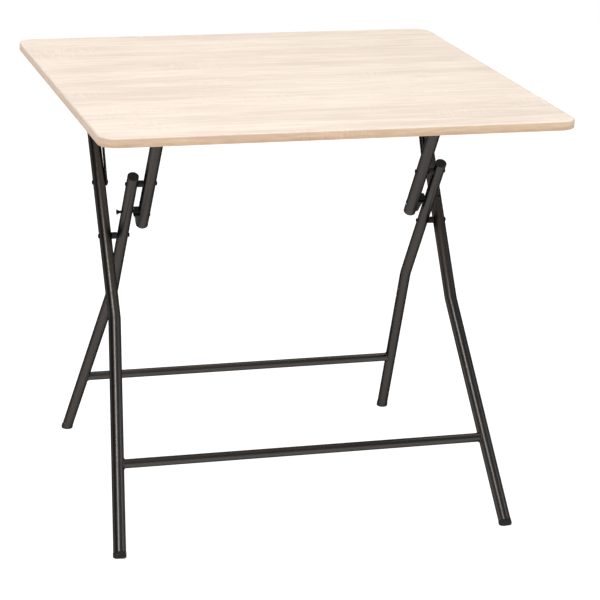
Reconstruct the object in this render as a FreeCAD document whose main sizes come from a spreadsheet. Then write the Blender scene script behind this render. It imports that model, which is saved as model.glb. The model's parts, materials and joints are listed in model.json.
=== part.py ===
import FreeCAD, Part
import math
import os
import Sketcher

# Folding table: a square laminated top on crossed tube legs.  The outer leg frame
# hangs from the top on flat straps.  The inner leg frame is carried by two short link
# tubes: each leg breaks at a knee bolt and is held straight by a clip and a pin.
# X is the width, +Y the back, +Z up; the origin is on the floor under the box centre.

DIMENSIONS = {
    # top
    "table_width": 800, "table_depth": 800, "table_height": 750,
    "board_thickness": 16, "corner_radius": 30, "band_thickness": 3, "arris_radius": 2.5,
    # legs: distances along a leg are measured from the scissor pivot
    "lean_angle": 34.1, "scissor_y": 17, "scissor_height": 473,
    "outer_radius": 11, "inner_radius": 10, "link_radius": 11, "tube_wall": 1.2,
    "bar_radius": 8, "bar_wall": 1.2,
    "outer_spacing": 309, "inner_spacing": 278, "link_spacing": 247,
    "outer_foot_spacing": 346.5, "inner_foot_spacing": 319.5,
    "bend_height": 348, "bend_radius": 90, "bar_height": 133,
    "outer_top_height": 725.8, "inner_top_height": 600.5, "link_end_height": 497,
    "tube_end_gap": 9,
    # pivots and latch
    "hinge_depth": 18, "strap_hinge_y": 155, "knee_height": 585,
    "strap_bolt_height": 556, "latch_height": 525, "clip_bolt_height": 517,
    "link_overhang": 7, "bolt_radius": 3, "running_gap": 0.08, "body_gap": 0.3,
    "head_radius": 4.1, "head_height": 1.7, "nut_height": 2.2, "spacer_radius": 6,
    "strap_width": 14, "strap_thickness": 2, "washer_thickness": 1,
    "latch_radius": 2.5, "latch_head_radius": 4.8, "clip_bolt_radius": 2,
    # plastic caps, feet and clips
    "cap_lip": 2.2, "plug_length": 13, "short_plug_length": 3, "plug_gap": 0.06,
    "foot_lip": 0.6, "foot_drop": 3,
    "clip_height": 8.3, "clip_half_width": 7.5, "clip_slot": 3.1, "clip_clear": 3,
    "clip_tip": 0.8, "clip_web": 4.2, "clip_lip": 6, "clip_shoulder": 4.5, "clip_crown": 7,
    # brackets and screws
    "plate": 2, "ear_gap": 1.7, "ear_radius": 9.5, "bracket_half_length": 30,
    "screw_offset": 22, "angle_width": 27, "angle_screw_inset": 10,
    "screw_radius": 2, "screw_length": 13, "screw_head_radius": 4, "screw_head_height": 1.8,
    "screw_gap": 0.2, "thread_gap": 0.02, "screw_tip_length": 3, "rivet_head_height": 1.7,
}

doc = FreeCAD.newDocument("folding_table")
sheet = doc.addObject("Spreadsheet::Sheet", "dims")
for row, (alias, value) in enumerate(DIMENSIONS.items(), start=1):
    sheet.set(f"A{row}", alias)
    sheet.set(f"B{row}", str(value))
    sheet.setAlias(f"B{row}", alias)
doc.recompute()

SIDES = {"left": -1, "right": 1}
SIN_45 = 0.7071
SCREW_POINT_RADIUS = 0.3
parts = []


def dim(alias):
    return float(sheet.get(alias))


def vec(x, y, z):
    return FreeCAD.Vector(x, y, z)


def placed(x, y, z, axis=(1, 0, 0), angle=0):
    return FreeCAD.Placement(vec(x, y, z), FreeCAD.Rotation(vec(*axis), angle))


def keep(part, label, placement=None):
    """Name a finished sub-part and put it where it belongs."""
    part.Label = label
    if placement is not None:
        part.Placement = placement
    parts.append(part)
    return part


# ---------------------------------------------------------------- sketch helpers

def new_body(name):
    return doc.addObject("PartDesign::Body", name)


def new_sketch(body, name, role, offset=None):
    plane = next(f for f in body.Origin.OriginFeatures if f.Role == role)
    sketch = body.newObject("Sketcher::SketchObject", name)
    sketch.AttachmentSupport = (plane, [""])
    sketch.MapMode = "FlatFace"
    if offset:
        sketch.setExpression("AttachmentOffset.Base.z", offset)
    return sketch


def bind_point(sketch, geometry, position, name, x, y):
    """Tie one point of a sketch to the origin by two expressions."""
    start = sketch.getPoint(geometry, position)
    for axis, formula, now in (("X", x, start.x), ("Y", y, start.y)):
        sketch.addConstraint(Sketcher.Constraint("Distance" + axis, -1, 1, geometry, position, now))
        index = sketch.ConstraintCount - 1
        sketch.renameConstraint(index, name + axis)
        sketch.setExpression(f"Constraints.{name}{axis}", formula)


def add_circle(sketch, radius, x="0", y="0", name="circle"):
    index = sketch.addGeometry(Part.Circle(vec(0, 0, 0), vec(0, 0, 1), 1))
    sketch.addConstraint(Sketcher.Constraint("Radius", index, 1.0))
    sketch.renameConstraint(sketch.ConstraintCount - 1, name + "Radius")
    sketch.setExpression(f"Constraints.{name}Radius", radius)
    bind_point(sketch, index, 3, name, x, y)


def add_outline(sketch, corners, name="p"):
    """Closed polygon; each corner is a pair of formulas."""
    count = len(corners)
    first = sketch.GeometryCount
    start = [vec(math.cos(6.283 * i / count), math.sin(6.283 * i / count), 0) for i in range(count)]
    for i in range(count):
        sketch.addGeometry(Part.LineSegment(start[i], start[(i + 1) % count]))
    for i in range(count):
        follower = first + (i + 1) % count
        sketch.addConstraint(Sketcher.Constraint("Coincident", first + i, 2, follower, 1))
    for i, (x, y) in enumerate(corners):
        bind_point(sketch, first + i, 1, f"{name}{i}", x, y)


def add_pad(body, sketch, length, symmetric=False):
    pad = body.newObject("PartDesign::Pad", "pad")
    pad.Profile = sketch
    if symmetric:
        pad.SideType = "Symmetric"
    pad.setExpression("Length", length)
    return pad


def add_pocket(body, sketch, base):
    """Cut a sketch right through the body, both ways, and make sure that it cut."""
    pocket = body.newObject("PartDesign::Pocket", "pocket")
    pocket.Profile = sketch
    pocket.SideType = "Symmetric"
    pocket.Type = "ThroughAll"
    doc.recompute()
    if not pocket.Shape.Volume < base.Shape.Volume - 0.1:
        raise RuntimeError(f"{body.Name}: {sketch.Name} cut nothing")
    return pocket


def add_fillet(body, base, radius, chosen):
    """Round the edges of base for which chosen(edge) is true."""
    doc.recompute()
    names = [f"Edge{i}" for i, edge in enumerate(base.Shape.Edges, start=1) if chosen(edge)]
    fillet = body.newObject("PartDesign::Fillet", "fillet")
    fillet.Base = (base, names)
    fillet.setExpression("Radius", radius)
    doc.recompute()
    return fillet


def is_vertical(edge):
    box = edge.BoundBox
    return box.XLength < 1e-6 and box.YLength < 1e-6


def revolved(name, profile):
    """Solid of revolution about the body's Z axis; profile is (radius, height) formulas."""
    body = new_body(name)
    sketch = new_sketch(body, name + "_profile", "XZ_Plane")
    add_outline(sketch, profile)
    turn = body.newObject("PartDesign::Revolution", "turn")
    turn.Profile = sketch
    turn.ReferenceAxis = (sketch, ["V_Axis"])
    turn.Angle = 360
    return body


# ---------------------------------------------------------------- frames of reference

LEAN = dim("lean_angle")
COS = math.cos(math.radians(LEAN))
SIN = math.sin(math.radians(LEAN))
# +Z of a leg frame runs up the leg; the outer legs lean back, the inner ones forward.
LEG_FRAME = {
    "outer": placed(0, dim("scissor_y"), dim("scissor_height"), angle=-LEAN),
    "inner": placed(0, dim("scissor_y"), dim("scissor_height"), angle=LEAN),
}


def along(height):
    """Distance up a leg, from the scissor pivot, at which it reaches a height."""
    return (height - dim("scissor_height")) / COS


def along_formula(height):
    return f"(({height} - dims.scissor_height) / cos(dims.lean_angle * 1deg))"


def on_leg(leg, x, distance, across=0):
    return LEG_FRAME[leg] * placed(x, across, distance)


def sideways(side, leg, x, height):
    """Frame with +Z pointing away from the table's middle, on a leg at a height."""
    angle = 90 * SIDES[side]
    return on_leg(leg, SIDES[side] * x, along(height)) * placed(0, 0, 0, (0, 1, 0), angle)


def splay_angle(leg):
    run = dim(f"{leg}_foot_spacing") - dim(f"{leg}_spacing")
    return math.degrees(math.atan2(run, along(dim("bend_height")) - along(0)))


def lower_leg(leg, side):
    """Frame on the floor with +Z up the lower, splayed part of a leg."""
    sign = SIDES[side]
    foot = on_leg(leg, sign * dim(f"{leg}_foot_spacing"), along(0))
    return foot * placed(0, 0, 0, (0, 1, 0), -sign * splay_angle(leg))


UNDERSIDE = dim("table_height") - dim("board_thickness")
HINGE_HEIGHT = UNDERSIDE - dim("hinge_depth")
LINK_HINGE_Y = dim("scissor_y") - (HINGE_HEIGHT - dim("scissor_height")) * SIN / COS
# from an outer tube's axis inwards: the tube, a washer, then the strap
STRAP_FACE = dim("outer_radius") + dim("washer_thickness") + dim("strap_thickness")

# ---------------------------------------------------------------- top


def bracket_screw_places():
    """Centres of the wood screws under the top, as (x, y)."""
    leg_x = (dim("outer_spacing") - STRAP_FACE - dim("body_gap") - dim("angle_width")
             + dim("angle_screw_inset"))
    link_x = dim("link_spacing")
    offset = dim("screw_offset")
    places = []
    for sign in SIDES.values():
        for step in (-offset, offset):
            places.append((sign * link_x, LINK_HINGE_Y + step))
            places.append((sign * leg_x, dim("strap_hinge_y") + step))
    return places


def rounded_slab(name, inset):
    """Slab as thick as the board with rounded plan corners, set in by a formula."""
    body = new_body(name)
    sketch = new_sketch(body, name + "_plan", "XY_Plane")
    half_x = f"(dims.table_width / 2 - {inset})"
    half_y = f"(dims.table_depth / 2 - {inset})"
    add_outline(sketch, [
        (f"-{half_x}", f"-{half_y}"), (half_x, f"-{half_y}"),
        (half_x, half_y), (f"-{half_x}", half_y),
    ])
    pad = add_pad(body, sketch, "dims.board_thickness")
    add_fillet(body, pad, f"dims.corner_radius - {inset}", is_vertical)
    return body


def build_board():
    body = rounded_slab("table_board", "dims.band_thickness")
    holes = new_sketch(body, "screw_holes", "XY_Plane")
    for i, (x, y) in enumerate(bracket_screw_places()):
        add_circle(holes, "dims.screw_radius + dims.thread_gap", str(x), str(y), f"hole{i}")
    before = body.Tip
    pocket = body.newObject("PartDesign::Pocket", "pilot_holes")
    pocket.Profile = holes
    pocket.Reversed = True
    pocket.setExpression("Length", "dims.screw_length - dims.plate + 0.5")
    doc.recompute()
    if not pocket.Shape.Volume < before.Shape.Volume - 10:
        raise RuntimeError("the pilot holes cut nothing")
    keep(body, "table_board", placed(0, 0, UNDERSIDE))


def build_edge_band():
    outside = rounded_slab("band_outside", "0")
    thickness = dim("board_thickness")

    def is_arris(edge):
        box = edge.BoundBox
        return box.ZLength < 1e-6 and (abs(box.ZMin) < 1e-6 or abs(box.ZMin - thickness) < 1e-6)

    add_fillet(outside, outside.Tip, "dims.arris_radius", is_arris)
    band = doc.addObject("Part::Cut", "edge_band")
    band.Base = outside
    band.Tool = rounded_slab("band_inside", "dims.band_thickness")
    keep(band, "edge_band", placed(0, 0, UNDERSIDE))


def finish_ears(body, name, pad, screw_x):
    """Trim a bracket's ears to a rounded tip, bore them and drill the screw holes."""
    drop = "(dims.hinge_depth + dims.ear_radius)"
    reach = "(dims.bracket_half_length + 1)"
    trim = new_sketch(body, name + "_ears", "YZ_Plane")
    for i, way in enumerate(("", "-")):
        add_outline(trim, [
            (f"{way}dims.ear_radius", f"-{drop} - 1"), (f"{way}{reach}", f"-{drop} - 1"),
            (f"{way}{reach}", "-dims.plate"), (f"{way}1.6 * dims.ear_radius", "-dims.plate"),
            (f"{way}dims.ear_radius", "-dims.hinge_depth * 0.7"),
        ], f"trim{i}p")
    ears = add_pocket(body, trim, pad)

    def is_ear_tip(edge):
        box = edge.BoundBox
        return box.YLength < 1e-6 and box.ZLength < 1e-6 and box.ZMax < -dim("hinge_depth") - 5

    tips = add_fillet(body, ears, "dims.ear_radius * 0.8", is_ear_tip)
    bore = new_sketch(body, name + "_bore", "YZ_Plane")
    add_circle(bore, "dims.bolt_radius", "0", "-dims.hinge_depth")
    bored = add_pocket(body, bore, tips)
    screws = new_sketch(body, name + "_screws", "XY_Plane")
    add_circle(screws, "dims.screw_radius + dims.screw_gap", screw_x, "dims.screw_offset", "front")
    add_circle(screws, "dims.screw_radius + dims.screw_gap", screw_x, "-dims.screw_offset", "back")
    add_pocket(body, screws, bored)


def build_link_bracket(side):
    """U-shaped bracket that holds the top of a link tube between two ears."""
    name = f"link_bracket_{side}"
    body = new_body(name)
    profile = new_sketch(body, name + "_profile", "XZ_Plane")
    inside = "(dims.link_radius + dims.ear_gap)"
    outside = f"({inside} + dims.plate)"
    drop = "(dims.hinge_depth + dims.ear_radius)"
    add_outline(profile, [
        (f"-{outside}", f"-{drop}"), (f"-{inside}", f"-{drop}"),
        (f"-{inside}", "-dims.plate"), (inside, "-dims.plate"),
        (inside, f"-{drop}"), (outside, f"-{drop}"), (outside, "0"), (f"-{outside}", "0"),
    ])
    pad = add_pad(body, profile, "2 * dims.bracket_half_length", symmetric=True)
    finish_ears(body, name, pad, "0")
    keep(body, name, placed(SIDES[side] * dim("link_spacing"), LINK_HINGE_Y, UNDERSIDE))


def build_leg_bracket(side):
    """Angle bracket whose single ear stands beside the strap of an outer leg."""
    name = f"leg_bracket_{side}"
    body = new_body(name)
    profile = new_sketch(body, name + "_profile", "XZ_Plane")
    drop = "(dims.hinge_depth + dims.ear_radius)"
    width = "dims.angle_width"
    add_outline(profile, [
        ("0", "0"), (f"-{width}", "0"), (f"-{width}", "-dims.plate"),
        ("-dims.plate", "-dims.plate"), ("-dims.plate", f"-{drop}"), ("0", f"-{drop}"),
    ])
    pad = add_pad(body, profile, "2 * dims.bracket_half_length", symmetric=True)
    finish_ears(body, name, pad, f"-{width} + dims.angle_screw_inset")
    sign = SIDES[side]
    face = dim("outer_spacing") - STRAP_FACE - dim("body_gap")
    turn = 0 if sign > 0 else 180
    place = placed(sign * face, dim("strap_hinge_y"), UNDERSIDE, (0, 0, 1), turn)
    keep(body, name, place)


def headed_pin(name, radius, head_radius, head_height, length):
    """Round pin along +Z with a chamfered head below Z = 0."""
    return revolved(name, [
        ("0", f"-{head_height}"), (f"{head_radius} * 0.7", f"-{head_height}"),
        (head_radius, f"-{head_height} * 0.45"), (head_radius, "0"),
        (radius, "0"), (radius, length), ("0", length),
    ])


def build_link_hinge_pin(side):
    """Rivet through both ears of a link bracket and the link tube."""
    name = f"link_hinge_pin_{side}"
    grip = "2 * (dims.link_radius + dims.ear_gap + dims.plate)"
    pin = revolved(name, [
        ("0", "-dims.plate"), ("dims.head_radius", "-dims.plate"), ("dims.head_radius", "0"),
        ("dims.bolt_radius", "0"), ("dims.bolt_radius", grip), ("dims.head_radius * 0.85", grip),
        ("dims.head_radius * 0.6", f"{grip} + dims.plate * 0.8"), ("0", f"{grip} + dims.plate * 0.8"),
    ])
    sign = SIDES[side]
    start = dim("link_radius") + dim("ear_gap") + dim("plate")
    inner_end = sign * (dim("link_spacing") - start)
    keep(pin, name, placed(inner_end, LINK_HINGE_Y, HINGE_HEIGHT, (0, 1, 0), 90 * sign))


def build_ear_rivet(side):
    """Rivet fixed in the ear of a leg bracket, flush with the face beside the strap."""
    name = f"leg_hinge_rivet_{side}"
    rivet = headed_pin(name, "dims.bolt_radius", "dims.head_radius",
                       "dims.rivet_head_height", "dims.plate")
    sign = SIDES[side]
    inner_face = dim("outer_spacing") - STRAP_FACE - dim("body_gap") - dim("plate")
    keep(rivet, name, placed(sign * inner_face, dim("strap_hinge_y"), HINGE_HEIGHT,
                             (0, 1, 0), 90 * sign))


def build_bracket_screws():
    """Wood screws that hold the four brackets, as one group of separate solids."""
    screws = []
    head = dim("screw_head_radius")
    radius = dim("screw_radius")
    dome_height = dim("screw_head_height")
    tip = dim("screw_tip_length")
    length = dim("screw_length")
    low = UNDERSIDE - dim("plate")
    for x, y in bracket_screw_places():
        shank = Part.makeCylinder(radius, length - tip, vec(x, y, low))
        point = Part.makeCone(radius, SCREW_POINT_RADIUS, tip, vec(x, y, low + length - tip))
        dome = Part.makeCone(head * 0.7, head, dome_height, vec(x, y, low - dome_height))
        screws.append(dome.fuse([shank, point]).removeSplitter())
    group = doc.addObject("Part::Feature", "bracket_screws")
    group.Shape = Part.makeCompound(screws)
    keep(group, "bracket_screws")


# ---------------------------------------------------------------- tubes and bars


def build_leg(leg, side, holes):
    """Bent round tube of a leg frame; holes maps a name to (height, radius)."""
    name = f"{leg}_leg_{side}"
    top = f"dims.{leg}_top_height"
    body = new_body(name)
    section = new_sketch(body, name + "_section", "XY_Plane")
    add_circle(section, f"dims.{leg}_radius", name="outside")
    add_circle(section, f"dims.{leg}_radius - dims.tube_wall", name="inside")
    path = new_sketch(body, name + "_path", "XZ_Plane")
    bend = along(dim("bend_height")) - along(dim(f"{leg}_top_height"))
    floor = along(0) - along(dim(f"{leg}_top_height"))
    spread = dim(f"{leg}_foot_spacing") - dim(f"{leg}_spacing")
    angle = math.radians(splay_angle(leg))
    radius = dim("bend_radius")
    setback = radius * math.tan(angle / 2)
    heading = vec(math.sin(angle), -math.cos(angle), 0)
    corner = vec(0, bend, 0)
    foot = vec(spread, floor, 0)
    bend_start = corner + vec(0, setback, 0)
    bend_end = corner + heading * setback
    half = vec(-math.cos(angle / 2), -math.sin(angle / 2), 0)
    middle = bend_start + vec(radius, 0, 0) + half * radius
    tube_end = foot - heading * dim("tube_end_gap")
    straight = path.addGeometry(Part.LineSegment(vec(0, 0, 0), bend_start))
    arc = path.addGeometry(Part.Arc(bend_start, middle, bend_end))
    splayed = path.addGeometry(Part.LineSegment(bend_end, tube_end))
    rest = path.addGeometry(Part.LineSegment(tube_end, foot), True)
    knuckle = path.addGeometry(Part.Point(corner), True)
    path.addConstraint([
        Sketcher.Constraint("Coincident", straight, 1, -1, 1),
        Sketcher.Constraint("Vertical", straight),
        Sketcher.Constraint("Tangent", straight, 2, arc, 1),
        Sketcher.Constraint("Tangent", arc, 2, splayed, 1),
        Sketcher.Constraint("Tangent", splayed, 2, rest, 1),
        Sketcher.Constraint("PointOnObject", knuckle, 1, splayed),
        Sketcher.Constraint("Radius", arc, radius),
    ])
    path.renameConstraint(path.ConstraintCount - 1, "bendRadius")
    path.setExpression("Constraints.bendRadius", "dims.bend_radius")
    path.addConstraint(Sketcher.Constraint("Distance", rest, dim("tube_end_gap")))
    path.renameConstraint(path.ConstraintCount - 1, "footGap")
    path.setExpression("Constraints.footGap", "dims.tube_end_gap")
    bind_point(path, knuckle, 1, "knuckle", "0",
               f"(dims.bend_height - {top}) / cos(dims.lean_angle * 1deg)")
    bind_point(path, rest, 2, "foot", f"dims.{leg}_foot_spacing - dims.{leg}_spacing",
               f"-{top} / cos(dims.lean_angle * 1deg)")
    pipe = body.newObject("PartDesign::AdditivePipe", "pipe")
    pipe.Profile = section
    pipe.Spine = (path, [])
    doc.recompute()
    base = pipe
    for hole, (height, hole_radius) in holes.items():
        sketch = new_sketch(body, f"{name}_{hole}_hole", "YZ_Plane")
        place = f"({height} - {top}) / cos(dims.lean_angle * 1deg)"
        add_circle(sketch, hole_radius, "0", place)
        base = add_pocket(body, sketch, base)
    sign = SIDES[side]
    place = on_leg(leg, sign * dim(f"{leg}_spacing"), along(dim(f"{leg}_top_height")))
    keep(body, name, place * placed(0, 0, 0, (0, 0, 1), 0 if sign > 0 else 180))


def build_crossbar(leg):
    """Round bar welded between the lower legs, its ends coped to the tubes."""
    name = f"{leg}_crossbar"
    height = dim("bar_height")
    share = (dim("bend_height") - height) / dim("bend_height")
    spread = dim(f"{leg}_foot_spacing") - dim(f"{leg}_spacing")
    reach = dim(f"{leg}_spacing") + spread * share
    span = f"2 * (dims.{leg}_spacing + (dims.{leg}_foot_spacing - dims.{leg}_spacing)" \
           " * (dims.bend_height - dims.bar_height) / dims.bend_height)"
    start = on_leg(leg, -reach, along(height)) * placed(0, 0, 0, (0, 1, 0), 90)
    tools = []
    outside = doc.addObject("Part::Cylinder", name + "_outside")
    outside.setExpression("Radius", "dims.bar_radius")
    outside.setExpression("Height", span)
    outside.Placement = start
    inside = doc.addObject("Part::Cylinder", name + "_inside")
    inside.setExpression("Radius", "dims.bar_radius - dims.bar_wall")
    inside.setExpression("Height", span)
    inside.Placement = start
    tools.append(inside)
    for side in SIDES:
        tube = doc.addObject("Part::Cylinder", f"{name}_cope_{side}")
        tube.setExpression("Radius", f"dims.{leg}_radius")
        tube.setExpression("Height", "dims.bend_height")
        tube.Placement = lower_leg(leg, side)
        tools.append(tube)
    cutter = doc.addObject("Part::MultiFuse", name + "_cutter")
    cutter.Shapes = tools
    bar = doc.addObject("Part::Cut", name)
    bar.Base = outside
    bar.Tool = cutter
    keep(bar, name)


def build_link_tube(side):
    """Short straight tube between the top's bracket and the knee of an inner leg."""
    name = f"link_tube_{side}"
    body = new_body(name)
    section = new_sketch(body, name + "_section", "XY_Plane")
    add_circle(section, "dims.link_radius", name="outside")
    add_circle(section, "dims.link_radius - dims.tube_wall", name="inside")
    hinge = "(dims.table_height - dims.board_thickness - dims.hinge_depth)"
    rise = f"(({hinge} - dims.link_end_height) / cos(dims.lean_angle * 1deg))"
    base = add_pad(body, section, f"{rise} + dims.link_overhang")
    holes = {
        "hinge": (hinge, "dims.bolt_radius + dims.running_gap"),
        "knee": ("dims.knee_height", "dims.bolt_radius + dims.running_gap"),
        "clip": ("dims.clip_bolt_height", "dims.clip_bolt_radius"),
    }
    doc.recompute()
    for hole, (height, hole_radius) in holes.items():
        sketch = new_sketch(body, f"{name}_{hole}_hole", "YZ_Plane")
        place = f"({height} - dims.link_end_height) / cos(dims.lean_angle * 1deg)"
        add_circle(sketch, hole_radius, "0", place)
        base = add_pocket(body, sketch, base)
    end = along(dim("link_end_height"))
    keep(body, name, on_leg("inner", SIDES[side] * dim("link_spacing"), end))


# ---------------------------------------------------------------- caps and feet


def plug_radius(tube):
    return f"(dims.{tube}_radius - dims.tube_wall - dims.plug_gap)"


def build_cap(name, tube, place, plug="dims.plug_length"):
    """Plastic plug with a slightly domed lip, pushed into a tube whose end is at Z = 0."""
    inside = plug_radius(tube)
    outside = f"dims.{tube}_radius"
    cap = revolved(name, [
        ("0", f"-{plug}"), (f"{inside} - 0.8", f"-{plug}"),
        (inside, f"-{plug} + 2"), (inside, "0"), (outside, "0"),
        (outside, "dims.cap_lip * 0.55"), (f"{outside} - 1.2", "dims.cap_lip"),
        ("0", "dims.cap_lip"),
    ])
    keep(cap, name, place)


def build_foot(leg, side):
    """Rubber foot: a plug in the tube and a rounded lip cut level with the floor."""
    name = f"{leg}_foot_{side}"
    inside = plug_radius(leg)
    lip = f"(dims.{leg}_radius + dims.foot_lip)"
    shape = revolved(name + "_turned", [
        ("0", "-dims.foot_drop"), (f"{lip} * 0.7", "-dims.foot_drop"),
        (f"{lip} * 0.92", "-dims.foot_drop * 0.4"), (lip, "1"),
        (lip, "dims.tube_end_gap - 1"), (f"dims.{leg}_radius", "dims.tube_end_gap"),
        (inside, "dims.tube_end_gap"), (inside, "dims.tube_end_gap + dims.plug_length - 2"),
        (f"{inside} - 0.8", "dims.tube_end_gap + dims.plug_length"),
        ("0", "dims.tube_end_gap + dims.plug_length"),
    ])
    frame = lower_leg(leg, side)
    shape.Placement = frame
    floor = doc.addObject("Part::Box", name + "_floor")
    for size in ("Length", "Width", "Height"):
        floor.setExpression(size, f"6 * {lip}")
    corner = frame.Base
    reach = 3 * (dim(f"{leg}_radius") + dim("foot_lip"))
    floor.Placement = placed(corner.x - reach, corner.y - reach, -2 * reach)
    foot = doc.addObject("Part::Cut", name)
    foot.Base = shape
    foot.Tool = floor
    keep(foot, name)


# ---------------------------------------------------------------- pins, bolts, latch


def build_strap(side):
    """Flat bar from a bolt through the outer leg up to the top's leg bracket."""
    name = f"hinge_strap_{side}"
    low = on_leg("outer", 0, along(dim("strap_bolt_height"))).Base
    high = vec(0, dim("strap_hinge_y"), HINGE_HEIGHT)
    rise = high - low
    body = new_body(name)
    outline = new_sketch(body, name + "_outline", "YZ_Plane")
    hinge = "(dims.table_height - dims.board_thickness - dims.hinge_depth)"
    across = "(dims.strap_hinge_y - dims.scissor_y" \
             " - (dims.strap_bolt_height - dims.scissor_height) * tan(dims.lean_angle * 1deg))"
    length = f"sqrt({across}^2 + ({hinge} - dims.strap_bolt_height)^2)"
    half = "dims.strap_width / 2"
    add_outline(outline, [
        (f"-{half}", "0"), (f"-{half} * {SIN_45}", f"-{half} * {SIN_45}"), ("0", f"-{half}"),
        (f"{half} * {SIN_45}", f"-{half} * {SIN_45}"), (half, "0"),
        (half, length), (f"{half} * {SIN_45}", f"{length} + {half} * {SIN_45}"),
        ("0", f"{length} + {half}"), (f"-{half} * {SIN_45}", f"{length} + {half} * {SIN_45}"),
        (f"-{half}", length),
    ])
    pad = add_pad(body, outline, "dims.strap_thickness")
    doc.recompute()
    holes = new_sketch(body, name + "_holes", "YZ_Plane")
    add_circle(holes, "dims.bolt_radius", "0", "0", "low")
    add_circle(holes, "dims.bolt_radius", "0", length, "high")
    add_pocket(body, holes, pad)
    sign = SIDES[side]
    inner_face = dim("outer_spacing") - STRAP_FACE
    x = inner_face if sign > 0 else -inner_face - dim("strap_thickness")
    tilt = -math.degrees(math.atan2(rise.y, rise.z))
    keep(body, name, placed(x, low.y, low.z, angle=tilt))


def build_bolt(name, side, leg, start, height, length):
    """Bolt whose head lies at x = start and whose shank runs towards the middle."""
    bolt = headed_pin(name, "dims.bolt_radius", "dims.head_radius", "dims.head_height", length)
    keep(bolt, name, sideways(side, leg, start, height) * placed(0, 0, 0, (1, 0, 0), 180))


def build_dome_nut(name, side, leg, start, height):
    """Domed nut that closes the inner end of a bolt; its seat is at x = start."""
    shank = "dims.bolt_radius"
    nut = revolved(name, [
        (shank, "0"), ("dims.head_radius", "0"), ("dims.head_radius", "dims.nut_height * 0.5"),
        ("dims.head_radius * 0.7", "dims.nut_height * 0.85"),
        (f"{shank} * 0.6", "dims.nut_height"), ("0", "dims.nut_height"),
        ("0", "dims.nut_height * 0.75"), (shank, "dims.nut_height * 0.75"),
    ])
    keep(nut, name, sideways(side, leg, start, height) * placed(0, 0, 0, (1, 0, 0), 180))


def build_collar(name, side, leg, inner_x, height, radius, length):
    """Plain spacer or washer around a bolt, from x = inner_x outwards."""
    collar = revolved(name, [
        ("dims.bolt_radius", "0"), (radius, "0"), (radius, length), ("dims.bolt_radius", length),
    ])
    keep(collar, name, sideways(side, leg, inner_x, height))


def build_latch_pin(side):
    """Pin through the inner leg: flared head outside, plain end reaching into the clip."""
    name = f"latch_pin_{side}"
    seat = "(dims.inner_spacing - dims.link_spacing)"
    inner = f"(dims.link_radius + 1.5 - {seat})"
    outer = "(dims.inner_radius + 4)"
    pin = revolved(name, [
        ("0", inner), ("dims.latch_radius", inner), ("dims.latch_radius", outer),
        ("dims.latch_head_radius", f"{outer} + 3.2"), ("dims.latch_head_radius", f"{outer} + 4"),
        ("0", f"{outer} + 4"),
    ])
    keep(pin, name, sideways(side, "inner", dim("inner_spacing"), dim("latch_height")))


def build_clip(side):
    """Moulded hook on the link tube; its mouth faces forwards and down."""
    name = f"latch_clip_{side}"
    sign = SIDES[side]
    way = "" if sign > 0 else "-"
    body = new_body(name)
    block = new_sketch(body, name + "_block", "YZ_Plane")
    low = f"{along_formula('dims.link_end_height')} + dims.clip_clear"
    pin = along_formula("dims.latch_height")
    bolt = along_formula("dims.clip_bolt_height")
    half = "dims.clip_half_width"
    add_outline(block, [
        (f"-{half} * 0.7", low), (f"{half} * 0.7", low), (half, f"{low} + dims.clip_shoulder"),
        (half, f"{pin} + dims.clip_shoulder"), (f"{half} * 0.6", f"{pin} + dims.clip_crown"),
        (f"-{half} * 0.35", f"{pin} + dims.clip_crown"),
        (f"-{half}", f"{pin} + dims.clip_shoulder"), (f"-{half}", f"{low} + dims.clip_shoulder"),
    ])
    pad = add_pad(body, block, "dims.link_radius + dims.clip_height")
    pad.Reversed = sign < 0
    doc.recompute()
    saddle = new_sketch(body, name + "_saddle", "XY_Plane")
    add_circle(saddle, "dims.link_radius")
    saddled = add_pocket(body, saddle, pad)
    mouth = new_sketch(body, name + "_mouth", "YZ_Plane")
    add_outline(mouth, [
        (f"-{half} - 1", f"{pin} - dims.clip_slot - 0.5"), ("0", f"{pin} - dims.clip_slot"),
        ("0", f"{pin} + dims.clip_slot"), (f"-{half} - 1", f"{pin} + dims.clip_slot + 1"),
    ])
    opened = add_pocket(body, mouth, saddled)
    seat = new_sketch(body, name + "_seat", "YZ_Plane")
    add_circle(seat, "dims.clip_slot", "0", pin)
    seated = add_pocket(body, seat, opened)
    drilling = new_sketch(body, name + "_bolt", "YZ_Plane")
    add_circle(drilling, "dims.clip_bolt_radius", "0", bolt)
    drilled = add_pocket(body, drilling, seated)
    wedge = new_sketch(body, name + "_wedge", "XZ_Plane")
    outside = f"{way}(dims.link_radius + dims.clip_height + 1)"
    add_outline(wedge, [
        (f"{way}(dims.link_radius + dims.clip_tip)", f"{low} - 1"), (outside, f"{low} - 1"),
        (outside, f"{pin} - dims.clip_lip"),
        (f"{way}(dims.link_radius + dims.clip_height - 1)", f"{pin} - dims.clip_lip"),
        (f"{way}(dims.link_radius + dims.clip_web)", f"{pin} - dims.clip_lip - 2"),
    ])
    add_pocket(body, wedge, drilled)
    keep(body, name, on_leg("inner", sign * dim("link_spacing"), 0))


# ---------------------------------------------------------------- assembly

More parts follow.
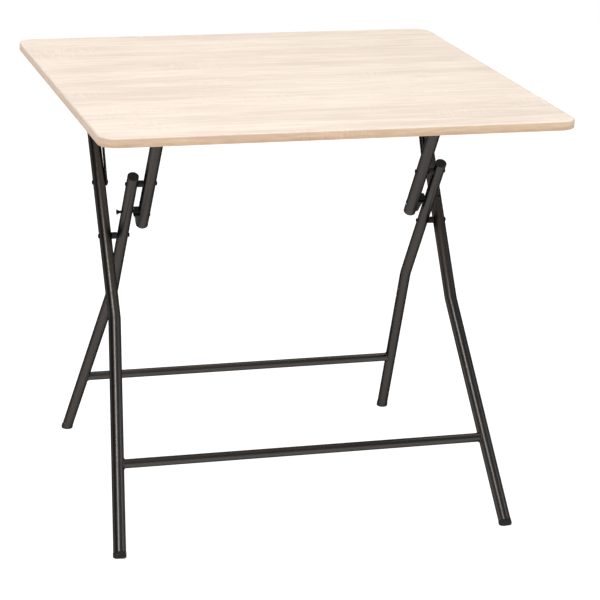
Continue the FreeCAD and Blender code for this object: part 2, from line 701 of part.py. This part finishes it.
RUNNING = "dims.bolt_radius + dims.running_gap"
SNUG = "dims.bolt_radius"
build_board()
build_edge_band()
build_bracket_screws()
for leg in LEG_FRAME:
    build_crossbar(leg)
for side, sign in SIDES.items():
    build_link_bracket(side)
    build_leg_bracket(side)
    build_link_hinge_pin(side)
    build_ear_rivet(side)

    # outer leg frame
    outer_x = dim("outer_spacing")
    outer_radius = dim("outer_radius")
    inner_radius = dim("inner_radius")
    link_radius = dim("link_radius")
    build_leg("outer", side, {
        "strap": ("dims.strap_bolt_height", SNUG),
        "scissor": ("dims.scissor_height", SNUG),
    })
    build_cap(f"outer_cap_{side}", "outer",
              on_leg("outer", sign * outer_x, along(dim("outer_top_height"))))
    build_foot("outer", side)
    build_strap(side)
    strap_face = outer_x - STRAP_FACE
    build_bolt(f"strap_bolt_{side}", side, "outer", outer_x + outer_radius, dim("strap_bolt_height"),
               "2 * dims.outer_radius + dims.washer_thickness + dims.strap_thickness"
               " + dims.nut_height * 0.75")
    build_collar(f"strap_washer_{side}", side, "outer", strap_face + dim("strap_thickness"),
                 dim("strap_bolt_height"), "dims.spacer_radius", "dims.washer_thickness")
    build_dome_nut(f"strap_nut_{side}", side, "outer", strap_face, dim("strap_bolt_height"))
    rivet = headed_pin(f"strap_rivet_{side}", SNUG, "dims.head_radius",
                       "dims.rivet_head_height", "dims.strap_thickness")
    keep(rivet, f"strap_rivet_{side}",
         placed(sign * (strap_face + dim("strap_thickness")), dim("strap_hinge_y"), HINGE_HEIGHT,
                (0, 1, 0), -90 * sign))

    # scissor pivot, held by the outer leg and turning in the inner one
    inner_x = dim("inner_spacing")
    build_bolt(f"scissor_bolt_{side}", side, "outer", outer_x + outer_radius, dim("scissor_height"),
               "dims.outer_spacing - dims.inner_spacing + dims.outer_radius + dims.inner_radius"
               " + dims.body_gap + dims.nut_height * 0.75")
    build_collar(f"scissor_spacer_{side}", side, "outer", inner_x + inner_radius + dim("body_gap"),
                 dim("scissor_height"), "dims.spacer_radius",
                 "dims.outer_spacing - dims.inner_spacing - dims.outer_radius - dims.inner_radius"
                 " - dims.body_gap")
    build_dome_nut(f"scissor_nut_{side}", side, "outer", inner_x - inner_radius - dim("body_gap"),
                   dim("scissor_height"))

    # inner leg frame
    build_leg("inner", side, {
        "scissor": ("dims.scissor_height", RUNNING),
        "latch": ("dims.latch_height", "dims.latch_radius"),
        "knee": ("dims.knee_height", SNUG),
    })
    build_cap(f"inner_cap_{side}", "inner",
              on_leg("inner", sign * inner_x, along(dim("inner_top_height"))))
    build_foot("inner", side)
    build_latch_pin(side)
    build_bolt(f"knee_bolt_{side}", side, "inner", inner_x + inner_radius, dim("knee_height"),
               "dims.inner_spacing - dims.link_spacing + dims.inner_radius + dims.link_radius"
               " + dims.body_gap + dims.nut_height * 0.75")
    link_x = dim("link_spacing")
    build_collar(f"knee_spacer_{side}", side, "inner", link_x + link_radius + dim("body_gap"),
                 dim("knee_height"), "dims.spacer_radius",
                 "dims.inner_spacing - dims.link_spacing - dims.inner_radius - dims.link_radius"
                 " - dims.body_gap")
    build_dome_nut(f"knee_nut_{side}", side, "inner", link_x - link_radius - dim("body_gap"),
                   dim("knee_height"))

    # link tube with its caps and clip
    build_link_tube(side)
    top_end = on_leg("inner", sign * link_x, along(HINGE_HEIGHT) + dim("link_overhang"))
    build_cap(f"link_top_cap_{side}", "link", top_end, "dims.short_plug_length")
    low_end = on_leg("inner", sign * link_x, along(dim("link_end_height")))
    build_cap(f"link_end_cap_{side}", "link", low_end * placed(0, 0, 0, (1, 0, 0), 180))
    build_clip(side)
    clip_bolt = headed_pin(f"clip_bolt_{side}", "dims.clip_bolt_radius", "dims.head_radius * 0.8",
                           "dims.head_height * 0.5", "2 * dims.link_radius + dims.clip_clear")
    keep(clip_bolt, f"clip_bolt_{side}",
         sideways(side, "inner", link_x - link_radius, dim("clip_bolt_height")))

doc.recompute()
failed = [f"{item.Name}: {item.State}" for item in doc.Objects
          if "Invalid" in item.State or "Error" in item.State]
for part in parts:
    shape = part.Shape
    if shape.isNull() or not shape.isValid():
        failed.append(f"{part.Label}: bad shape")
if failed:
    raise RuntimeError("; ".join(failed))
os.makedirs("parts", exist_ok=True)
for part in parts:
    part.Shape.exportStep(f"parts/{part.Label}.step")
print(len(parts), "sub-parts written")
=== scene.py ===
import json
import math

import bmesh
import bpy
from mathutils import Matrix, Vector


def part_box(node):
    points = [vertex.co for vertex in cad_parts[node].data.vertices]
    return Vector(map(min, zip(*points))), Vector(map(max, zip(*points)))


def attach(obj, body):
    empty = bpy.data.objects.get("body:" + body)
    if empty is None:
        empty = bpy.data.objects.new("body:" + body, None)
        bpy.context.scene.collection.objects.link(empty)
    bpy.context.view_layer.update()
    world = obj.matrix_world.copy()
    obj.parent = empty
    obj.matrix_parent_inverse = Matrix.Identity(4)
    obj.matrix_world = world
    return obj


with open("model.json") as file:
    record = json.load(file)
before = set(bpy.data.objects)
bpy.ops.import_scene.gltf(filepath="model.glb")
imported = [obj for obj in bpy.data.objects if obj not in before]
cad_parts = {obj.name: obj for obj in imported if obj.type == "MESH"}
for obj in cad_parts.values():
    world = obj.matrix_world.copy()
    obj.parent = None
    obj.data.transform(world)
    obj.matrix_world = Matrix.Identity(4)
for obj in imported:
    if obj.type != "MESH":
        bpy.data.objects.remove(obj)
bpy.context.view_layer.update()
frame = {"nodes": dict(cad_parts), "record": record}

# ---------------------------------------------------------------- constants

# the table in metres: the top's two faces, each leg tube's radius, the distance from the middle
# plane to each leg above its bend, and the height of that bend
TOP_Z = 0.75
UNDERSIDE_Z = 0.734
TUBE_RADIUS = {"outer": 0.011, "inner": 0.010}
LEG_SPACING = {"outer": 0.309, "inner": 0.278}
BEND_HEIGHT = 0.348

# weld beads: a round bead whose thickness swells once per ripple
WELD_THICKNESS = 0.0013
WELD_SWELL = 0.00035
WELD_SWELL_POWER = 0.7
WELD_RIPPLES = 22
WELD_STEPS = 96
WELD_SIDES = 10
WELD_HALVINGS = 40

# studio: a pale floor that glows, and a backdrop that is dimmer above and to the left
FLOOR_REACH = 40.0
FLOOR_GREY = 0.35
FLOOR_GLOW = 0.90
BACKDROP_LOW, BACKDROP_LOW_GREY = 0.05, 0.70
BACKDROP_HIGH, BACKDROP_HIGH_GREY = 0.55, 0.30
DIM_FROM, DIM_TO, DIM_LEFT = -0.9, 0.3, 0.15
HAZE_TOP, HAZE_FULL, HAZE_GREY = 0.22, 0.08, 1.25
BACKDROP_STRENGTH = 0.75

# camera at the photograph's viewing angle
CAMERA_PLACE = Vector((-1.1121, -4.0018, 1.6378))
CAMERA_YAW, CAMERA_PITCH, CAMERA_ROLL = 16.13, 17.31, -1.6
CAMERA_LENS, CAMERA_SENSOR = 145.08, 36.0
CAMERA_REACH = 200

# a Mix node has its own pair of inputs and its own output for each data type
VECTOR_A, VECTOR_B, VECTOR_RESULT = 4, 5, 1
COLOR_A, COLOR_B, COLOR_RESULT = 6, 7, 2

# ---------------------------------------------------------------- node helpers


class Nodes:
    """A node tree with short calls to add nodes and join them."""

    def __init__(self, tree):
        self.tree = tree

    def add(self, kind, inputs=None, **settings):
        node = self.tree.nodes.new(kind)
        for name, value in settings.items():
            setattr(node, name, value)
        for socket, value in (inputs or {}).items():
            self.put(node.inputs[socket], value)
        return node

    def put(self, socket, value):
        if isinstance(value, bpy.types.NodeSocket):
            self.tree.links.new(value, socket)
        else:
            socket.default_value = value

    def math(self, operation, a, b=0.0):
        return self.add("ShaderNodeMath", {0: a, 1: b}, operation=operation).outputs[0]

    def step(self, value, low, high):
        """0 below low, 1 above high, smooth in between; low may be the larger."""
        node = self.add("ShaderNodeMapRange", {"Value": value, "From Min": low, "From Max": high},
                        interpolation_type="SMOOTHSTEP")
        return node.outputs["Result"]

    def spread(self, value, low, high):
        """low where value is 0, high where it is 1."""
        node = self.add("ShaderNodeMapRange", {"Value": value, "To Min": low, "To Max": high})
        return node.outputs["Result"]

    def join(self, x, y, z=0.0):
        return self.add("ShaderNodeCombineXYZ", {0: x, 1: y, 2: z}).outputs[0]

    def split(self, vector):
        return self.add("ShaderNodeSeparateXYZ", {0: vector}).outputs

    def noise(self, vector, scale=1.0, detail=2.0, roughness=0.5):
        node = self.add("ShaderNodeTexNoise", {
            "Vector": vector, "Scale": scale, "Detail": detail, "Roughness": roughness})
        return node.outputs["Fac"]

    def mix(self, factor, a, b, blend="MIX"):
        node = self.add("ShaderNodeMix", {"Factor": factor, COLOR_A: a, COLOR_B: b},
                        data_type="RGBA", blend_type=blend)
        return node.outputs[COLOR_RESULT]

    def bump(self, height, strength, distance, normal=None):
        inputs = {"Height": height, "Strength": strength, "Distance": distance}
        if normal is not None:
            inputs["Normal"] = normal
        return self.add("ShaderNodeBump", inputs).outputs["Normal"]


class Graph(Nodes):
    """A material's node tree, its shader, and the place of each point on the object."""

    def __init__(self, name, **sockets):
        self.material = bpy.data.materials.new(name)
        self.material.use_nodes = True
        super().__init__(self.material.node_tree)
        self.shader = self.tree.nodes["Principled BSDF"]
        for socket, value in sockets.items():
            self.shader.inputs[socket.replace("_", " ")].default_value = value
        self.place = self.add("ShaderNodeTexCoord").outputs["Object"]

    def stretched(self, *scales):
        """The place of each point with every axis scaled by its own factor."""
        return self.join(*[self.math("MULTIPLY", value, scale)
                           for value, scale in zip(self.split(self.place), scales)])

    def finish(self, color, roughness, normal):
        for socket, value in (("Base Color", color), ("Roughness", roughness), ("Normal", normal)):
            self.put(self.shader.inputs[socket], value)
        return self.material


def rgb(red, green, blue):
    return (red, green, blue, 1.0)


def grey(level):
    return rgb(level, level, level)


# ---------------------------------------------------------------- materials

OAK_LIGHT = rgb(0.86, 0.745, 0.625)
OAK_MIDDLE = rgb(0.80, 0.68, 0.565)
OAK_DARK = rgb(0.72, 0.605, 0.515)
OAK_ROSE = rgb(0.70, 0.56, 0.485)
OAK_PALE = rgb(0.93, 0.83, 0.72)
OAK_SAW_DIP = rgb(0.60, 0.48, 0.40)
OAK_PORE = rgb(0.55, 0.43, 0.34)
OAK_FIBRE = rgb(0.95, 0.86, 0.76)
BACKING_DARK = rgb(0.56, 0.47, 0.38)
BACKING_LIGHT = rgb(0.66, 0.57, 0.47)
EDGE_TAN_DARK = rgb(0.62, 0.50, 0.38)
EDGE_TAN_LIGHT = rgb(0.90, 0.80, 0.68)
# painted shade for the lower part of the edge strip
EDGE_PAINTED_SHADE = rgb(0.70, 0.58, 0.47)
PAINT_SPECK = rgb(0.11, 0.10, 0.09)
# lighter grey patches: partly dust, partly a painted sheen
DUST_AND_SHEEN_GREY = rgb(0.16, 0.15, 0.14)


def oak_grain(g, along, across):
    """Pale sawn oak print: (colour, height) from distances along and across the grain."""
    warp = g.noise(g.join(g.math("MULTIPLY", along, 1.6), g.math("MULTIPLY", across, 5.0)),
                   detail=3)
    shift = g.math("MULTIPLY", g.math("SUBTRACT", warp, 0.5), 0.035)
    bent = g.math("ADD", across, shift)

    def streaks(along_scale, across_scale, seed, detail=2.0, roughness=0.5):
        place = g.join(g.math("MULTIPLY", along, along_scale),
                       g.math("MULTIPLY", bent, across_scale), seed)
        return g.noise(place, detail=detail, roughness=roughness)

    wide = streaks(1.7, 19.0, 0.3, 4, 0.6)
    narrow = streaks(3.4, 80.0, 5.1, 3, 0.6)
    short = streaks(11.0, 130.0, 3.6, 3, 0.65)
    fibre = streaks(18.0, 520.0, 1.7, 2)
    pores = streaks(60.0, 1100.0, 8.9, 1)
    saw = streaks(330.0, 30.0, 4.2, 2)
    patches = g.noise(g.join(g.math("MULTIPLY", along, 4.0), g.math("MULTIPLY", across, 8.0), 2.2),
                      detail=3)
    color = g.mix(g.step(wide, 0.34, 0.60), OAK_DARK, OAK_LIGHT)
    color = g.mix(g.math("MULTIPLY", g.step(narrow, 0.62, 0.34), 0.55), color, OAK_MIDDLE)
    color = g.mix(g.math("MULTIPLY", g.step(short, 0.54, 0.32), 0.60), color, OAK_ROSE)
    color = g.mix(g.math("MULTIPLY", g.step(short, 0.52, 0.70), 0.40), color, OAK_PALE)
    color = g.mix(g.math("MULTIPLY", g.step(wide, 0.50, 0.38), 0.25), color, OAK_ROSE)
    flecks = g.math("MULTIPLY", g.step(patches, 0.52, 0.66), g.step(saw, 0.50, 0.66))
    color = g.mix(g.math("MULTIPLY", flecks, 0.45), color, OAK_PALE)
    dips = g.math("MULTIPLY", g.step(patches, 0.50, 0.64), g.step(saw, 0.46, 0.32))
    color = g.mix(g.math("MULTIPLY", dips, 0.22), color, OAK_SAW_DIP)
    color = g.mix(g.math("MULTIPLY", g.step(pores, 0.40, 0.28), 0.22), color, OAK_PORE)
    color = g.mix(g.math("MULTIPLY", g.step(fibre, 0.35, 0.65), 0.10), color, OAK_FIBRE)
    height = g.math("SUBTRACT", g.math("ADD", fibre, g.math("MULTIPLY", saw, 0.4)),
                    g.step(pores, 0.40, 0.28))
    return color, height


def oak_top():
    """Oak print above and on the board's sides, plain backing board below."""
    g = Graph("oak_laminate", Coat_Weight=0.06, Coat_Roughness=0.3)
    x, y, z = g.split(g.place)
    color, height = oak_grain(g, x, y)
    below = g.step(z, UNDERSIDE_Z + 0.0004, UNDERSIDE_Z + 0.0001)
    speckle = g.noise(g.place, 900.0, 3)
    backing = g.mix(speckle, BACKING_DARK, BACKING_LIGHT)
    scuffs = g.noise(g.place, 9.0, 5, 0.7)
    roughness = g.math("ADD", g.spread(height, 0.40, 0.47),
                       g.math("MULTIPLY", g.step(scuffs, 0.50, 0.75), 0.10))
    return g.finish(g.mix(below, color, backing), roughness, g.bump(height, 0.25, 0.0002))


def oak_edge():
    """The same print in a warmer tan, with a painted highlight along the arris and painted shade
    darkening the strip towards the bottom.
    """
    g = Graph("edge_strip", Coat_Weight=0.06, Coat_Roughness=0.3)
    x, y, z = g.split(g.place)
    sideways = g.math("GREATER_THAN", g.math("ABSOLUTE", x), g.math("ABSOLUTE", y))
    depth = g.math("SUBTRACT", TOP_Z, z)
    swap = g.add("ShaderNodeMix", {
        "Factor": sideways,
        VECTOR_A: g.join(x, g.math("SUBTRACT", y, depth)),
        VECTOR_B: g.join(y, g.math("SUBTRACT", x, depth))}, data_type="VECTOR")
    along, across, _ = g.split(swap.outputs[VECTOR_RESULT])
    color, height = oak_grain(g, along, across)
    tan = g.mix(g.noise(g.join(g.math("MULTIPLY", along, 40), g.math("MULTIPLY", z, 220)), 1.0, 3),
                EDGE_TAN_DARK, EDGE_TAN_LIGHT)
    tanned = g.mix(1.0, color, tan, "MULTIPLY")
    # painted highlight: along the rounded arris at the top of the strip the pale top print is kept
    arris_painted_highlight = g.step(depth, 0.0004, 0.0030)
    # painted shade: the strip is darkened towards its bottom
    low = g.math("MULTIPLY", g.step(depth, 0.006, 0.0155), 0.5)
    tanned = g.mix(low, tanned, g.mix(1.0, tanned, EDGE_PAINTED_SHADE, "MULTIPLY"))
    worn = g.noise(g.join(g.math("MULTIPLY", along, 60), g.math("MULTIPLY", across, 60)), 1.0, 4)
    scuff = g.math("MULTIPLY", g.step(worn, 0.60, 0.72), 0.12)
    return g.finish(g.mix(arris_painted_highlight, color, tanned), g.math("ADD", 0.42, scuff),
                    g.bump(height, 0.3, 0.0002))


def powder_coat(name, dark, light, scale=1.0):
    """Semi-gloss black enamel: dark at its edges, with a narrow highlight."""
    g = Graph(name, Metallic=1.0, Specular_Tint=rgb(0.14, 0.13, 0.12))
    cloud = g.noise(g.place, 14.0 * scale, 4)
    grain = g.noise(g.place, 1500.0, 2)
    peel = g.noise(g.place, 420.0, 2)
    scratch = g.noise(g.stretched(700.0, 60.0, 60.0), 1.0, 1)
    color = g.mix(cloud, dark, light)
    color = g.mix(g.math("MULTIPLY", g.step(grain, 0.62, 0.75), 0.30), color, PAINT_SPECK)
    rough = g.math("ADD", g.spread(cloud, 0.29, 0.37),
                   g.math("MULTIPLY", g.step(scratch, 0.64, 0.76), 0.10))
    normal = g.bump(peel, 0.08, 0.0003)
    return g.finish(color, rough, g.bump(grain, 0.10, 0.0001, normal))


def dark_steel():
    """Blackened steel with fine turning marks."""
    g = Graph("fastener", Metallic=1.0, Specular_Tint=rgb(0.25, 0.24, 0.23))
    turned = g.noise(g.stretched(120.0, 1400.0, 1400.0), 1.0, 2)
    blot = g.noise(g.place, 260.0, 3)
    color = g.mix(blot, rgb(0.024, 0.022, 0.021), rgb(0.060, 0.055, 0.052))
    return g.finish(color, g.spread(turned, 0.30, 0.50), g.bump(turned, 0.10, 0.0001))


def zinc_steel():
    """Bright zinc plating, a little blotched."""
    g = Graph("screw_steel", Metallic=1.0)
    blot = g.noise(g.place, 340.0, 4)
    fine = g.noise(g.place, 2600.0, 2)
    color = g.mix(blot, rgb(0.50, 0.50, 0.51), rgb(0.68, 0.68, 0.70))
    return g.finish(color, g.spread(fine, 0.25, 0.42), g.bump(fine, 0.10, 0.0001))


def moulded(name, dark, light, low, high, bump, dust_and_sheen=0.0):
    """Moulded plastic or rubber of roughness low to high, with a fine texture and lighter patches
    that are partly dust and partly a painted sheen.
    """
    g = Graph(name, Specular_IOR_Level=0.16)
    grain = g.noise(g.place, 2200.0, 2)
    cloud = g.noise(g.place, 70.0, 4)
    color = g.mix(cloud, dark, light)
    # lighter patches, partly dust and partly a painted sheen
    dust_and_painted_sheen = g.math("MULTIPLY", g.step(g.noise(g.place, 160.0, 5, 0.7), 0.55, 0.75), dust_and_sheen)
    color = g.mix(dust_and_painted_sheen, color, DUST_AND_SHEEN_GREY)
    return g.finish(color, g.spread(cloud, low, high), g.bump(grain, bump, 0.0002))


MATERIALS = {
    "oak_laminate": oak_top(),
    "edge_strip": oak_edge(),
    "tube_paint": powder_coat("tube_paint", rgb(0.060, 0.056, 0.053), rgb(0.078, 0.073, 0.070)),
    "plate_paint": powder_coat("plate_paint", rgb(0.050, 0.046, 0.043), rgb(0.066, 0.061, 0.057),
                               scale=3),
    "fastener": dark_steel(),
    "screw_steel": zinc_steel(),
    "black_plastic": moulded("black_plastic", rgb(0.010, 0.010, 0.010), rgb(0.018, 0.017, 0.017),
                             0.42, 0.55, bump=0.2),
    "clip_plastic": moulded("clip_plastic", rgb(0.008, 0.008, 0.008), rgb(0.015, 0.015, 0.015),
                            0.38, 0.52, bump=0.25),
    "foot_rubber": moulded("foot_rubber", rgb(0.012, 0.012, 0.012), rgb(0.022, 0.021, 0.020),
                           0.62, 0.78, bump=0.35, dust_and_sheen=0.3),
}

slot_of = {row["node"]: row["material_slot"] for row in frame["record"]["subparts"]}

for node, piece in frame["nodes"].items():
    piece.data.materials.clear()
    piece.data.materials.append(MATERIALS[slot_of[node]])
    for polygon in piece.data.polygons:
        polygon.material_index = 0

# ---------------------------------------------------------------- weld beads


def weld_bead(leg, side, sign):
    """Rippled fillet where a crossbar's coped end meets the lower part of a leg tube."""
    low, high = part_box(f"{leg}_crossbar")
    bar = (low + high) / 2
    bar_radius = (high.z - low.z) / 2
    foot = next(Vector(m["pos_m"]) for m in frame["record"]["mounts"]
                if m["name"] == f"foot_{'front' if leg == 'outer' else 'back'}_{side}")
    share = bar.z / BEND_HEIGHT
    bend_x = sign * LEG_SPACING[leg]
    on_bar = Vector((foot.x + (bend_x - foot.x) * share, bar.y, bar.z))
    axis = (on_bar - foot).normalized()
    rings = []
    for i in range(WELD_STEPS):
        angle = 2 * math.pi * i / WELD_STEPS
        y = bar.y + bar_radius * math.cos(angle)
        z = bar.z + bar_radius * math.sin(angle)
        # halve the way from the middle to the leg until the point lies on the tube's surface
        inside = 0.0
        outside = abs(on_bar.x)
        for _ in range(WELD_HALVINGS):
            x = (inside + outside) / 2
            gap = Vector((sign * x, y, z)) - foot
            if gap.cross(axis).length > TUBE_RADIUS[leg]:
                inside = x
            else:
                outside = x
        point = Vector((sign * inside, y, z))
        radial = Vector((0, math.cos(angle), math.sin(angle)))
        inward = Vector((-sign, 0, 0))
        swell = abs(math.sin(WELD_RIPPLES * angle / 2)) ** WELD_SWELL_POWER
        thickness = WELD_THICKNESS + WELD_SWELL * swell
        ring = []
        for k in range(WELD_SIDES):
            turn = 2 * math.pi * k / WELD_SIDES
            ring.append(point + thickness * (math.cos(turn) * radial + math.sin(turn) * inward))
        rings.append(ring)
    shape = bmesh.new()
    verts = [[shape.verts.new(p) for p in ring] for ring in rings]
    for i in range(WELD_STEPS):
        here, after = verts[i], verts[(i + 1) % WELD_STEPS]
        for k in range(WELD_SIDES):
            other = (k + 1) % WELD_SIDES
            shape.faces.new((here[k], after[k], after[other], here[other]))
    bmesh.ops.recalc_face_normals(shape, faces=shape.faces)
    mesh = bpy.data.meshes.new(f"weld_{leg}_{side}")
    shape.to_mesh(mesh)
    shape.free()
    mesh.shade_smooth()
    mesh.materials.append(MATERIALS["tube_paint"])
    bead = bpy.data.objects.new(f"weld_{leg}_{side}", mesh)
    bpy.context.scene.collection.objects.link(bead)
    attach(bead, f"{leg}_frame")


for leg_name in LEG_SPACING:
    for side_name, side_sign in (("left", -1), ("right", 1)):
        weld_bead(leg_name, side_name, side_sign)

# ---------------------------------------------------------------- studio

floor_mesh = bpy.data.meshes.new("floor")
corners = [(x * FLOOR_REACH, y * FLOOR_REACH, 0) for x, y in ((-1, -1), (1, -1), (1, 1), (-1, 1))]
floor_mesh.from_pydata(corners, [], [(0, 1, 2, 3)])
floor = bpy.data.objects.new("floor", floor_mesh)
bpy.context.scene.collection.objects.link(floor)
floor_paint = Graph("floor_paint", Base_Color=grey(FLOOR_GREY), Roughness=0.9,
                    Specular_IOR_Level=0.0, Emission_Color=grey(1), Emission_Strength=FLOOR_GLOW)
floor_mesh.materials.append(floor_paint.material)


def area_light(name, place, target, width, height, power):
    data = bpy.data.lights.new(name, "AREA")
    data.shape = "RECTANGLE"
    data.size = width
    data.size_y = height
    data.energy = power
    light = bpy.data.objects.new(name, data)
    light.location = place
    light.rotation_euler = (Vector(target) - Vector(place)).to_track_quat("-Z", "Y").to_euler()
    bpy.context.scene.collection.objects.link(light)


area_light("overhead", (-0.1, 0.6, 3.4), target=(0, 0, 0.4), width=3.4, height=3.4, power=79)
area_light("front_strip", (-1.45, -2.4, 3.2), target=(0, -0.15, 0.35),
           width=0.30, height=2.6, power=80)
area_light("side_fill", (3.2, -2.0, 1.6), target=(0, 0, 0.5), width=0.8, height=1.6, power=14)

world = bpy.data.worlds.new("studio")
bpy.context.scene.world = world
world.use_nodes = True
sky = Nodes(world.node_tree)
sideways, _, upward = sky.split(sky.add("ShaderNodeTexCoord").outputs["Generated"])
ramp = sky.add("ShaderNodeValToRGB", {0: upward})
for stop, place, level in zip(ramp.color_ramp.elements, (BACKDROP_LOW, BACKDROP_HIGH),
                              (BACKDROP_LOW_GREY, BACKDROP_HIGH_GREY)):
    stop.color = grey(level)
    stop.position = place
# the studio is darker on the left, which keeps the left edge and the tubes' flanks dark
dim_left = sky.add("ShaderNodeMapRange", {"Value": sideways, "From Min": DIM_FROM,
                                          "From Max": DIM_TO, "To Min": DIM_LEFT})
shade = sky.mix(dim_left.outputs["Result"], grey(0), ramp.outputs["Color"])
# just above the horizon the backdrop is as pale as the floor
haze = sky.mix(sky.step(upward, HAZE_TOP, HAZE_FULL), shade, grey(HAZE_GREY))
background = sky.tree.nodes["Background"]
sky.put(background.inputs["Color"], haze)
sky.put(background.inputs["Strength"], BACKDROP_STRENGTH)
bpy.context.scene.view_settings.view_transform = "Standard"

# ---------------------------------------------------------------- camera

yaw, pitch, roll = (math.radians(a) for a in (CAMERA_YAW, CAMERA_PITCH, CAMERA_ROLL))
forward = Vector((math.sin(yaw) * math.cos(pitch), math.cos(yaw) * math.cos(pitch),
                  -math.sin(pitch)))
level = Vector((math.cos(yaw), -math.sin(yaw), 0))
down = forward.cross(level)
right = level * math.cos(roll) + down * math.sin(roll)
up = level * math.sin(roll) - down * math.cos(roll)
camera_data = bpy.data.cameras.new("camera")
camera_data.lens = CAMERA_LENS
camera_data.sensor_width = CAMERA_SENSOR
camera_data.clip_end = CAMERA_REACH
camera = bpy.data.objects.new("camera", camera_data)
bpy.context.scene.collection.objects.link(camera)
turned = Matrix((right, up, -forward)).transposed().to_4x4()
camera.matrix_world = Matrix.Translation(CAMERA_PLACE) @ turned
bpy.context.scene.camera = camera
